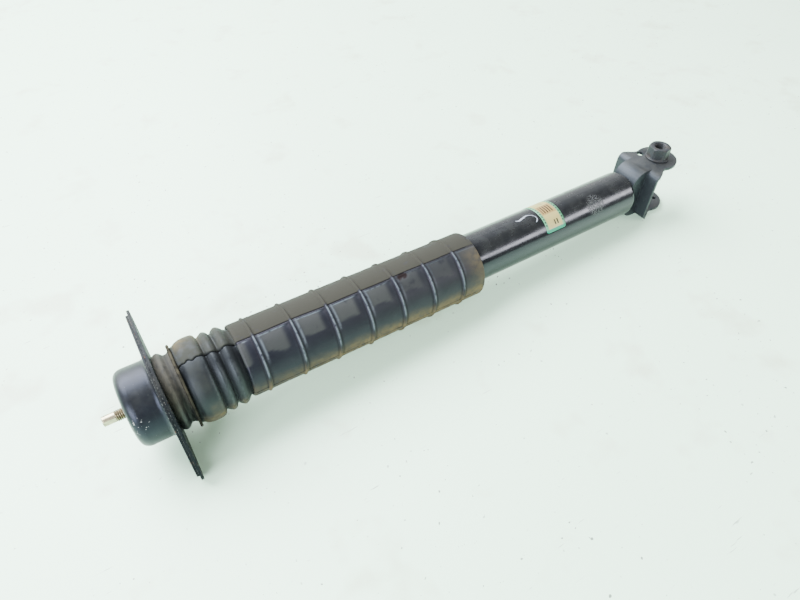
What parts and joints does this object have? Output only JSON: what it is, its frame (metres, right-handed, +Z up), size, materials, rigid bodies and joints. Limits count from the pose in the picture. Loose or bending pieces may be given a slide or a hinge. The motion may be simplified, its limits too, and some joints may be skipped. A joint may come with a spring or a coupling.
{
  "type": "shock absorber",
  "caption": "Telescopic rear shock absorber with a ribbed dust cover, a two-bolt top plate and a forked lower bracket with a weld nut.",
  "frame": {"origin": "where the lower bolt crosses the shock's axis, midway between the fork's arms", "axes": "+Z up from the floor that it lies on, -X towards the rod's tip, whose end is raised by 1.85 degrees, +Y across"},
  "size_m": [0.6558, 0.1304, 0.1001],
  "materials": {
    "bracket_paint": "satin black paint",
    "tube_paint": "gloss black paint",
    "phosphated_steel": "dark phosphate",
    "plated_steel": "yellow-tinged zinc",
    "chromed_rod": "hard chrome",
    "spring_steel": "blued",
    "drawn_steel": "drawn",
    "sintered_iron": "matt grey",
    "bronze_bush": "bronze",
    "ptfe_band": "filled PTFE",
    "nylon_stop": "natural nylon",
    "seal_rubber": "nitrile",
    "cushion_rubber": "moulded",
    "bump_foam": "microcellular foam",
    "boot_rubber": "moulded, dusty",
    "cover_plastic": "blow moulded, dusty",
    "label_paper": "printed film"
  },
  "bodies": {
    "damper_body": {"fork_bracket": "bracket_paint", "weld_nut": "phosphated_steel", "weld_bead": "tube_paint", "base_cap": "tube_paint", "outer_tube": "tube_paint", "pressure_tube": "drawn_steel", "rod_guide": "sintered_iron", "guide_bush": "bronze_bush", "rod_seal": "seal_rubber", "bump_cap": "drawn_steel", "base_valve_body": "sintered_iron", "base_valve_discs": "spring_steel", "base_valve_pin": "plated_steel", "label": "label_paper"},
    "piston_seal": {"piston_band": "ptfe_band"},
    "rod_and_mount": {"mount_can": "bracket_paint", "mount_plate": "bracket_paint", "rod_side_plate": "bracket_paint", "seat_washer": "phosphated_steel", "spacer_sleeve": "plated_steel", "top_washer": "plated_steel", "rod_nut": "plated_steel", "piston_nut": "plated_steel", "piston_washer": "plated_steel", "stop_ring": "plated_steel", "piston_rod": "chromed_rod", "rebound_discs": "spring_steel", "compression_discs": "spring_steel", "piston": "sintered_iron", "rebound_stop": "nylon_stop", "lower_cushion": "cushion_rubber", "upper_cushion": "cushion_rubber", "bump_stop": "bump_foam", "dust_boot": "boot_rubber", "dust_cover": "cover_plastic"}
  },
  "joints": [
    {"name": "rod_slide", "type": "slide", "parent": "damper_body", "child": "piston_seal", "axis": [0.9995, 0, -0.0323], "range_m": [0, 0.15]},
    {"name": "rod_swivel", "type": "hinge", "parent": "piston_seal", "child": "rod_and_mount", "pos_m": [-0.29685, 0, 0.00959], "axis": [-0.9995, 0, 0.0323], "continuous": true}
  ]
}
